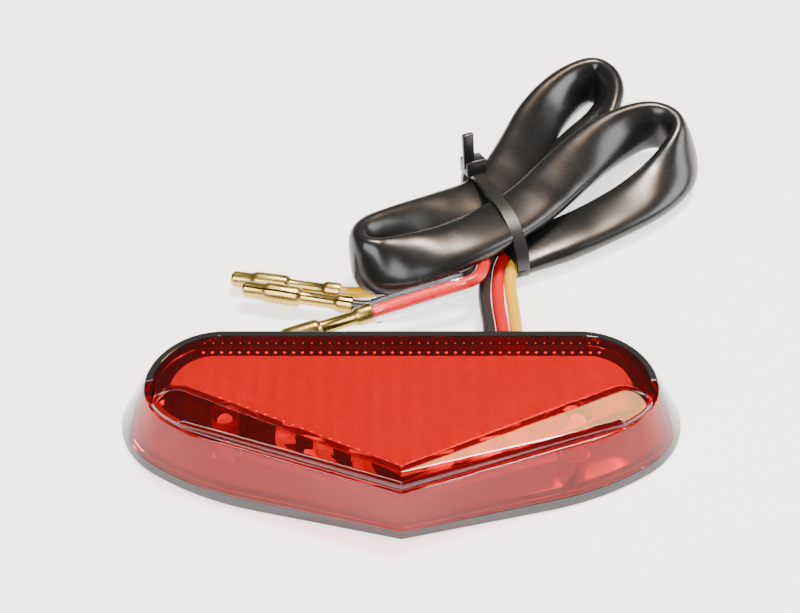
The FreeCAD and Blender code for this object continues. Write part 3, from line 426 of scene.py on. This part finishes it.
lead_wires = {c: lay_wire(f"{c}_lead_wire", points, wire_finish[c], f"{c}_lead")
              for c, points in LEADS.items()}
tail_wires = {c: lay_wire(f"{c}_tail_wire", points, wire_finish[c], f"{c}_tail")
              for c, points in TAILS.items()}
for colour in LEADS:
    dress(f"{colour}_lead_inner", wire_finish[colour])
    dress(f"{colour}_lead_passage", wire_finish[colour])
print(len(lead_wires) + len(tail_wires), "wires laid")

# %% [markdown]
# ## Sleeve
# The sleeve is a soft PVC tube pressed half flat, like a tape that is thick in the middle. It lies flat on
# its long runs and stands on edge where it turns back. A round bevel can't do that, so its line is again a
# NURBS curve, but the tube is a mesh that follows points read from it.

# %% Sleeve route
# Each entry is a point of the route and how far the tape is turned on edge there, in degrees.
SLEEVE = [
    ((20.8, 45.9, 2.6), 0), ((30.0, 51.0, 2.6), 0), ((40.0, 57.0, 2.9), 5), ((51.0, 64.5, 3.9), 25),
    ((58.5, 73.0, 5.6), 60), ((59.5, 81.5, 6.8), 82), ((52.5, 85.0, 7.4), 112), ((41.5, 76.5, 8.0), 150),
    ((32.0, 64.5, 8.2), 168), ((25.6, 56.0, 8.3), 176), ((16.1, 47.3, 8.8), 174), ((7.5, 41.0, 9.2), 162),
    ((-0.3, 38.2, 8.9), 140), ((-4.6, 37.7, 8.5), 116), ((-7.9, 40.2, 8.2), 94), ((-7.4, 45.0, 7.9), 72),
    ((0.0, 48.9, 7.6), 50), ((9.0, 54.4, 6.8), 28), ((17.0, 60.0, 6.5), 12), ((21.5, 67.5, 6.0), 14),
    ((25.5, 77.0, 5.6), 22), ((29.5, 88.0, 5.6), 32), ((36.0, 98.0, 5.8), 55), ((43.0, 103.5, 5.9), 82),
    ((46.5, 97.0, 5.5), 84), ((42.0, 88.0, 4.6), 50), ((35.0, 77.0, 3.4), 15), ((28.0, 67.5, 2.6), 0),
    ((21.0, 60.0, 2.3), 0), ((14.5, 54.0, 2.4), 0),
]
SLEEVE_HALF_WIDTH = 5.5
SLEEVE_HALF_THICKNESS = 2.35
SLEEVE_WALL = 0.35
# The cable tie crosses the hank here. Its band runs along the span, and the band's width lies across it.
TIE_CENTRE = Vector((18.75, 55.8, 0)) * MM
TIE_ANGLE = math.radians(111.4)
TIE_SPAN = Vector((math.cos(TIE_ANGLE), math.sin(TIE_ANGLE), 0))
TIE_ACROSS = Vector((-TIE_SPAN.y, TIE_SPAN.x, 0))


def points_of_curve(data):
    """The points of a curve with no bevel, in order, as its own mesh gives them."""
    probe = bpy.data.objects.new("probe", data)
    bpy.context.scene.collection.objects.link(probe)
    mesh = bpy.data.meshes.new_from_object(probe)
    spots = [v.co.copy() for v in mesh.vertices]
    bpy.data.objects.remove(probe)
    bpy.data.meshes.remove(mesh)
    return [b for a, b in zip([spots[0] * 2] + spots, spots) if (b - a).length > 1e-6]


sleeve_data = route_curve("sleeve_route", [spot for spot, turn in SLEEVE])
sleeve_data.resolution_u = 14
sleeve_line = points_of_curve(sleeve_data)

# %% [markdown]
# ## The pressed tube
# One ring is extruded from point to point, and every new ring is pressed flat, turned on edge and pinched
# where the cable tie holds it. A cloth simulation would settle it too, but it could lose the listed folds.
# The wall's thickness comes last, from a Solidify modifier.

# %% Sleeve outline
RING_POINTS = 28
TIE_SQUEEZE = 0.22
TIE_REACH = 6
MOST_BEND = 3.0


def eased(values, place):
    """A value between listed ones, blended over three of them as the route itself is."""
    nearest = round(place)
    share = place - nearest
    before, here, after = (values[min(max(nearest + k, 0), len(values) - 1)] for k in (-1, 0, 1))
    return 0.5 * (0.5 - share) ** 2 * before + (0.75 - share ** 2) * here + 0.5 * (0.5 + share) ** 2 * after


def pressed_ring(fullness=0.82):
    """Outline of a tube pressed half flat, with its half width and half thickness both 1."""
    ring = []
    for i in range(RING_POINTS):
        angle = 2 * math.pi * i / RING_POINTS
        c, s = math.cos(angle), math.sin(angle)
        ring.append((math.copysign(abs(c) ** fullness, c), math.copysign(abs(s) ** fullness, s)))
    return ring


print("outline of the sleeve:", len(pressed_ring()), "points")


# %% Sleeve tube
def sleeve_tube():
    """Extrudes a ring along the route, pressing and turning it at every point."""
    tube = bmesh.new()
    spoke = tube.verts.layers.int.new("spoke")
    outline = pressed_ring()
    ring = bmesh.ops.create_circle(tube, segments=RING_POINTS, radius=1.0)["verts"]
    for k, v in enumerate(ring):
        v[spoke] = k
    turns = [turn for spot, turn in SLEEVE]
    last = len(sleeve_line) - 1
    for i, spot in enumerate(sleeve_line):
        if i:
            edges = {e for v in ring for e in v.link_edges if e.other_vert(v) in ring}
            grown = bmesh.ops.extrude_edge_only(tube, edges=list(edges))["geom"]
            ring = [g for g in grown if isinstance(g, bmesh.types.BMVert)]
        ahead = (sleeve_line[min(i + 1, last)] - sleeve_line[max(i - 1, 0)]).normalized()
        across = Vector((0, 0, 1)).cross(ahead).normalized()
        upright = ahead.cross(across)
        turn = math.radians(eased(turns, i / last * (len(turns) - 1)))
        wide = across * math.cos(turn) + upright * math.sin(turn)
        thin = ahead.cross(wide)
        bend = 0.0
        if 2 < i < last - 2:
            bend = min((sleeve_line[i + 3] - 2 * spot + sleeve_line[i - 3]).length / MM, MOST_BEND)
        ends = min(1.0, 0.82 + 0.02 * min(i, last - i))
        from_tie = (spot - TIE_CENTRE).dot(TIE_ACROSS) / (TIE_REACH * MM)
        squeeze = 1 - TIE_SQUEEZE * math.exp(-from_tie ** 2)
        swell = squeeze + 0.025 * math.sin(i * 0.21) + 0.015 * math.sin(i * 0.53 + 1)
        width = SLEEVE_HALF_WIDTH * MM * ends * (1 - 0.02 * bend)
        thickness = SLEEVE_HALF_THICKNESS * MM * swell * (1 + 0.03 * bend)
        for v in ring:
            a, b = outline[v[spoke]]
            v.co = spot + wide * a * width + thin * b * thickness
    bmesh.ops.recalc_face_normals(tube, faces=tube.faces)
    return tube


soft_black = finish("soft_black_pvc", (0.006, 0.0065, 0.006), (0.011, 0.011, 0.01), 0.27, 0.05, 0.2,
                    bump_depth=0.0001, grain=260.0, patch=90.0)
sleeve = piece("sleeve_hank", sleeve_tube(), soft_black, instead=["harness_sleeve"],
               smooth=60)
wall = sleeve.modifiers.new("wall", "SOLIDIFY")
wall.thickness = SLEEVE_WALL * MM
wall.offset = -1.0
wall.use_even_offset = False

# %% [markdown]
# ## Terminals
# A bullet terminal is rolled from thin brass sheet, so it has an open seam along one side. A turned bar
# would look solid. Here a profile is spun almost all the way round, which leaves the seam open, and the
# thin wall is given its thickness.

# %% Terminals
SEAM_GAP = 12.0
BRASS_SHEET = 0.3
TERMINAL_PROFILE = [(0.35, 0.0), (1.15, 0.12), (1.5, 0.6), (1.55, 1.2), (1.55, 4.0), (1.72, 4.4), (1.93, 4.9),
                    (1.95, 5.6), (1.95, 10.6), (1.85, 11.1), (1.38, 11.7), (1.3, 12.3), (1.3, 17.9),
                    (1.5, 18.3), (1.74, 18.7), (1.75, 19.2), (1.75, 21.2), (1.7, 21.5)]
TERMINALS = {
    "yellow": ((-33.0, 41.4, 2.3), (-12.1, 37.9, 2.0)),
    "black": ((-30.5, 37.2, 3.6), (-10.6, 33.7, 2.7)),
    "red": ((-26.0, 22.6, 2.45), (-5.6, 29.05, 5.05)),
}


def along(tip, towards):
    """Stands a shape made along +Z at a point, facing another."""
    tip, towards = Vector(tip) * MM, Vector(towards) * MM
    return Matrix.Translation(tip) @ (towards - tip).to_track_quat("Z", "Y").to_matrix().to_4x4()


def spun(profile, turn=360.0, start=0.0, steps=40):
    """A profile of (radius, height) pairs in millimetres, spun about Z."""
    shape = bmesh.new()
    spots = [shape.verts.new((r * MM * math.cos(start), r * MM * math.sin(start), z * MM))
             for r, z in profile]
    edges = [shape.edges.new(pair) for pair in zip(spots, spots[1:])]
    bmesh.ops.spin(shape, geom=spots + edges, cent=(0, 0, 0), axis=(0, 0, 1), angle=math.radians(turn),
                   steps=steps, use_merge=turn >= 360.0, use_duplicate=False)
    bmesh.ops.remove_doubles(shape, verts=shape.verts, dist=1e-7)
    bmesh.ops.recalc_face_normals(shape, faces=shape.faces)
    return shape


def terminal(colour, seam_side):
    shape = spun(TERMINAL_PROFILE, 360.0 - SEAM_GAP, seam_side)
    outwards = max(shape.faces, key=lambda f: f.calc_center_median().xy.length)
    if outwards.normal.xy.dot(outwards.calc_center_median().xy) < 0:
        bmesh.ops.reverse_faces(shape, faces=shape.faces)
    bmesh.ops.solidify(shape, geom=shape.faces, thickness=BRASS_SHEET * MM)
    bmesh.ops.transform(shape, matrix=along(*TERMINALS[colour]), verts=shape.verts)
    return piece(f"{colour}_bullet", shape, brass, instead=[f"{colour}_terminal"], smooth=30)


bullets = {c: terminal(c, side) for c, side in (("yellow", 0.6), ("black", 2.2), ("red", 1.0))}

# %% [markdown]
# ## Clear covers
# Two clear soft tubes wait on the wires, ready to be pushed over the terminals. A cylinder with a Solidify
# modifier would be quicker, but its perfect edges look like glass tube. This wall is spun from a profile
# with rounded lips and a slightly wavy side, as cut soft tube has.

# %% Clear covers
COVER_PROFILE = [(2.1, 0.0), (2.12, 0.3), (2.1, 3.0), (2.13, 7.0), (2.1, 11.0), (2.12, 15.0), (2.1, 17.7),
                 (2.12, 18.0), (2.3, 18.0), (2.38, 17.85), (2.38, 15.0), (2.36, 11.0), (2.39, 7.0),
                 (2.37, 3.0), (2.38, 0.15), (2.3, 0.0), (2.1, 0.0)]
RED_COVER_GAP = 0.4
BLACK_COVER_PLACE = 1.8


def cover(colour, matrix):
    shape = spun(COVER_PROFILE, steps=48)
    bmesh.ops.transform(shape, matrix=matrix, verts=shape.verts)
    return piece(f"{colour}_clear_cover", shape, clear_tube, body=f"{colour}_cover",
                 instead=[f"{colour}_cover"], smooth=40)


red_way = (Vector(TERMINALS["red"][1]) - Vector(TERMINALS["red"][0])).normalized()
red_start = Vector(TERMINALS["red"][0]) + red_way * (TERMINAL_PROFILE[-1][1] + RED_COVER_GAP)
black_way = (Vector(TAILS["black"][2]) - Vector(TAILS["black"][1])).normalized()
black_start = Vector(TAILS["black"][1]) + black_way * BLACK_COVER_PLACE
covers = {"red": cover("red", along(red_start, red_start + red_way)),
          "black": cover("black", along(black_start, black_start + black_way))}

# %% [markdown]
# ## Cable tie
# The tie is a nylon band pulled round the bundle, so its loop follows the strands over the top and lies
# flat below. A curve with a flat bevel could draw it, but band, head and tail are simpler as one mesh. So a
# closed NURBS loop is drawn across the bundle, its points are made into an edge loop, and the loop is
# extruded to the band's width.

# %% Cable tie band
TIE_WIDTH = 2.5
TIE_THICKNESS = 0.95
TIE_LOOP = [(-14.4, 3.0), (-13.4, 6.6), (-10.0, 10.0), (-5.2, 11.4), (0.0, 11.0), (5.0, 10.2), (9.4, 9.9),
            (12.6, 9.4), (14.2, 7.4), (14.4, 4.0), (14.0, 0.8), (10.0, 0.55), (0.0, 0.55), (-10.0, 0.55),
            (-14.0, 0.8)]


def tie_spot(span, rise, side=0.0):
    return TIE_CENTRE + TIE_SPAN * span * MM + TIE_ACROSS * side * MM + Vector((0, 0, rise * MM))


def tie_band():
    data = bpy.data.curves.new("tie_path", "CURVE")
    data.dimensions = "3D"
    spline = data.splines.new("NURBS")
    spline.points.add(len(TIE_LOOP) - 1)
    for knot, (span, rise) in zip(spline.points, TIE_LOOP):
        knot.co = (*tie_spot(span, rise), 1)
    spline.order_u = 3
    spline.use_cyclic_u = True
    data.resolution_u = 8
    spots = points_of_curve(data)
    band = bmesh.new()
    loop = [band.verts.new(s - TIE_ACROSS * (TIE_WIDTH / 2) * MM) for s in spots]
    edges = [band.edges.new((loop[i], loop[(i + 1) % len(loop)])) for i in range(len(loop))]
    wider = bmesh.ops.extrude_edge_only(band, edges=edges)
    moved = [g for g in wider["geom"] if isinstance(g, bmesh.types.BMVert)]
    bmesh.ops.translate(band, verts=moved, vec=TIE_ACROSS * TIE_WIDTH * MM)
    bmesh.ops.recalc_face_normals(band, faces=band.faces)
    bmesh.ops.solidify(band, geom=band.faces, thickness=TIE_THICKNESS * MM)
    return band


tie_shape = tie_band()
print("tie band:", len(tie_shape.faces), "faces")

# %% [markdown]
# ## The tie's head and tail
# The head sits on the far side of the hank, with the cut tail standing up out of it. Both are blocks with
# rounded edges, leaned a little so that they don't look placed by a machine.

# %% Cable tie head and tail
def add_block(shape, size, matrix, round_off, segments=3):
    """A rounded block of a size in millimetres, placed by a matrix."""
    made = bmesh.ops.create_cube(shape, size=1.0)["verts"]
    bmesh.ops.scale(shape, vec=Vector(size) * MM, verts=made)
    edges = {e for v in made for e in v.link_edges}
    rounded = bmesh.ops.bevel(shape, geom=list(edges), offset=round_off * MM, segments=segments, profile=0.5,
                              affect="EDGES", material=-1, clamp_overlap=True)
    verts = {v for f in rounded["faces"] for v in f.verts} | {v for v in made if v.is_valid}
    verts |= {v for v in list(verts) for e in v.link_edges for v in e.verts}
    bmesh.ops.transform(shape, matrix=matrix, verts=list(verts))
    return verts


def tie_frame(span, rise, side, lean, tip=0.0):
    """A frame on the tie: X along the span, Y across the band, Z up, leaned over by two angles."""
    turn = Matrix((TIE_SPAN, TIE_ACROSS, Vector((0, 0, 1)))).transposed().to_4x4()
    lean_over = Matrix.Rotation(math.radians(lean), 4, "Y") @ Matrix.Rotation(math.radians(tip), 4, "X")
    return Matrix.Translation(tie_spot(span, rise, side)) @ turn @ lean_over


add_block(tie_shape, (4.2, 4.5, 3.3), tie_frame(11.2, 10.6, 0.0, 14), 0.5)
add_block(tie_shape, (1.0, 2.4, 8.5), tie_frame(10.6, 15.0, 1.6, 2, -3), 0.3, 2)
cable_tie = piece("tie_round_hank", tie_shape, black_nylon, instead=["cable_tie"])

# %% [markdown]
# ## The cords
# The free cords are the three leads, the three tails and the sleeve.

print("7 cords: three leads, three tails and the sleeve")

# %% [markdown]
# ## Softening the moulded parts
# A CAD solid has razor edges, and no moulded part has. A Bevel modifier on the CAD mesh would find nothing
# to round, because its triangles share no edges. So the housing and the lens are copied, their doubled
# points merged and flat areas joined into single faces, and then their sharp edges are bevelled, which
# catches the thin bright lines along the rim.

# %% Helpers for softened copies
def merged_copy(node):
    shape = bmesh.new()
    shape.from_mesh(nodes[node].data)
    bmesh.ops.remove_doubles(shape, verts=shape.verts, dist=2e-6)
    bmesh.ops.dissolve_limit(shape, angle_limit=math.radians(1.5), verts=shape.verts, edges=shape.edges)
    return shape


def soften(shape, radius, least_angle, chosen, segments):
    sharp = [e for e in shape.edges if len(e.link_faces) == 2
             and e.calc_face_angle() > math.radians(least_angle) and chosen(e)]
    bmesh.ops.bevel(shape, geom=sharp, offset=radius * MM, segments=segments, profile=0.5, affect="EDGES",
                    material=-1, clamp_overlap=False)
    return len(sharp)


def middle(edge):
    return (edge.verts[0].co + edge.verts[1].co) / 2


print("the CAD lens has", len(nodes["lens"].data.polygons), "loose triangles")

# %% [markdown]
# ## Lens
# The real cover is one clear moulding whose chevron bar catches the light on two tilted facets. The CAD bar
# has a level top, so the copy is cut along its middle and the bar's points are lowered towards the front.
# Sculpting would do it too, but a formula keeps both arms alike.

# %% Lens shape
FACET_LEAN = math.radians(25.7)
FACET_START = 17.0
FACET_TILT = math.radians(9.0)
FACET_REACH = 7.6
BAR_LEVEL = 12.3
PANEL_LEVEL = 10.7
WALL_TOP = 10.6
WALL_BACK = 4


def bar_tilt(spot):
    """How far the chevron's facet is lowered at a point of the bar, in metres."""
    ahead = math.sin(FACET_LEAN) * abs(spot.x) - math.cos(FACET_LEAN) * (spot.y + FACET_START * MM)
    return math.tan(FACET_TILT) * min(max(ahead, 0.0), FACET_REACH * MM)


lens_shape = merged_copy("lens")
everything = list(lens_shape.verts) + list(lens_shape.edges) + list(lens_shape.faces)
bmesh.ops.bisect_plane(lens_shape, geom=everything, plane_co=(0, 0, 0), plane_no=(1, 0, 0))
# Cuts across the level faces leave none that is large and many-sided, because those shade unevenly.
for cut_at, cut_way in (((30 * MM, 0, 0), (1, 0, 0)), ((-30 * MM, 0, 0), (1, 0, 0)),
                        ((0, -1 * MM, 0), (0, 1, 0)), ((0, 8 * MM, 0), (0, 1, 0))):
    flats = [f for f in lens_shape.faces if abs(f.normal.z) > 0.999 and f.calc_center_median().z > 6 * MM]
    flats += list({e for f in flats for e in f.edges}) + list({v for f in flats for v in f.verts})
    bmesh.ops.bisect_plane(lens_shape, geom=flats, plane_co=cut_at, plane_no=cut_way)
for v in lens_shape.verts:
    if v.co.z > BAR_LEVEL * MM:
        v.co.z -= bar_tilt(v.co)
print("lens edges rounded:", soften(lens_shape, 0.28, 22, lambda e: middle(e).z > PANEL_LEVEL * MM, 4))

# %% Lens
for f in lens_shape.faces:
    c = f.calc_center_median()
    f.material_index = 1 if abs(f.normal.z) < 0.6 and c.z < WALL_TOP * MM and c.y < WALL_BACK * MM else 0
lens = piece("lens_cover", lens_shape, [red_lens, red_wall], instead=["lens"], smooth=30)

# %% [markdown]
# ## Keeping flat faces flat
# Smooth shading bends the reflection near every rounded edge, so a level face would mirror like a cushion.
# Its border and the line where the chevron's arms meet are marked sharp. With normals weighted by area,
# that keeps the mirror true.

# %% Flat faces and housing
def keep_flats_flat(made):
    """Sharpen the line where the chevron's arms meet, and the border of every level face."""
    shape = bmesh.new()
    shape.from_mesh(made.data)
    for e in shape.edges:
        levels = [abs(f.normal.z) > 0.9995 for f in e.link_faces]
        if len(levels) == 2 and levels[0] != levels[1]:
            e.smooth = False
        if all(abs(v.co.x) < 1e-6 and v.co.z > 12 * MM for v in e.verts):
            e.smooth = False
    shape.to_mesh(made.data)
    shape.free()


keep_flats_flat(lens)
housing_shape = merged_copy("rear_housing")
print("housing edges rounded:", soften(housing_shape, 0.2, 40, lambda e: middle(e).xy.length > 18 * MM, 2))
housing = piece("housing_shell", housing_shape, black_plastic, instead=["rear_housing"],
                smooth=30)
for moulding in (lens, housing):
    flats = moulding.modifiers.new("flats stay flat", "WEIGHTED_NORMAL")
    flats.weight = 90
    flats.keep_sharp = True

# %% [markdown]
# ## Reflector
# Behind the flat part of the lens lies a reflex reflector: a plate whose back is covered in tiny prisms,
# which look like a fine, even, faintly ribbed field of red. Thousands of real prisms would be heavy, and at
# this size the eye can't tell them from a bump, so a regular Voronoi pattern and soft ribs feed one.

# %% Reflector finish
def reflector_finish():
    material = finish("red_reflector", (0.25, 0.0025, 0.002), (0.21, 0.002, 0.002), 0.42, 0.08, 0.2)
    tree = material.node_tree
    shader = tree.nodes["Principled BSDF"]
    spot = tree.nodes.new("ShaderNodeTexCoord")
    cells = tree.nodes.new("ShaderNodeTexVoronoi")
    cells.inputs["Scale"].default_value = 900.0
    cells.inputs["Randomness"].default_value = 0.0
    ribs = tree.nodes.new("ShaderNodeTexWave")
    ribs.inputs["Scale"].default_value = 95.0
    total = tree.nodes.new("ShaderNodeMath")
    total.operation = "ADD"
    dent = tree.nodes.new("ShaderNodeBump")
    dent.inputs["Strength"].default_value = 0.5
    dent.inputs["Distance"].default_value = 0.0002
    wire_up(tree, [
        (spot.outputs["Object"], cells.inputs["Vector"]), (spot.outputs["Object"], ribs.inputs["Vector"]),
        (cells.outputs["Distance"], total.inputs[0]), (ribs.outputs["Fac"], total.inputs[1]),
        (total.outputs[0], dent.inputs["Height"]), (dent.outputs["Normal"], shader.inputs["Normal"])])
    return material


red_reflector = reflector_finish()
dress("reflex_reflector", red_reflector)
print("reflector finish:", red_reflector.name)

# %% [markdown]
# ## Teeth along the reflector's edges
# The prisms end in rows of small teeth that glint, along the upper edge and along the vee. These are large
# enough to see one by one, so they are real four-sided points, repeated by a loop. Their gloss is real,
# but their red is painted far brighter than the reflector's, a painted highlight for the glints.

# %% Teeth along the reflector's edges
TOOTH_LEVEL = 9.1
TOOTH_HEIGHT = 0.5
VEE_SLOPE = math.tan(math.radians(26.0))

# Painted highlight: the teeth's red is far brighter than the reflector's own and stands in for their glints;
# the coat's gloss is real.
tooth_painted_glint = finish("reflector_tooth_painted_glint", (1.0, 0.25, 0.2), (0.9, 0.15, 0.1), 0.12, 0.04, coat=0.8)


def teeth():
    row = bmesh.new()
    places = [(x * 0.8, 13.9, 0.36) for x in range(-44, 45, 2)]
    places += [(x * 0.8, 16.2, 0.2) for x in range(-44, 45, 2)]
    for side in (-1, 1):
        places += [(side * (1 + 1.6 * i), -12.6 + (1 + 1.6 * i) * VEE_SLOPE, 0.42) for i in range(20)]
    for x, y, radius in places:
        made = bmesh.ops.create_cone(row, cap_ends=True, segments=4, radius1=radius * MM, radius2=0.03 * MM,
                                     depth=TOOTH_HEIGHT * MM)["verts"]
        bmesh.ops.translate(row, verts=made, vec=Vector((x, y, TOOTH_LEVEL)) * MM)
    return row


piece("reflector_teeth", teeth(), tooth_painted_glint, smooth=20)

# %% [markdown]
# ## Everything inside and behind
# The board, its parts, the screws, inserts, seal and grommet have their right shapes already. They could be
# rebuilt, but nothing would be gained, so the CAD nodes stay and only take finishes.

# %% Finishes for the CAD nodes
for node, material in (
        ("circuit_board", board_green), ("tail_leds", led_amber), ("plate_leds", led_white),
        ("resistors", chip_black), ("protection_diodes", chip_black), ("led_carrier", black_plastic),
        ("lens_screws", zinc), ("board_screws", zinc), ("mounting_inserts", brass),
        ("lens_seal", black_rubber), ("wire_grommet", black_rubber)):
    dress(node, material)
print("all CAD nodes dressed")
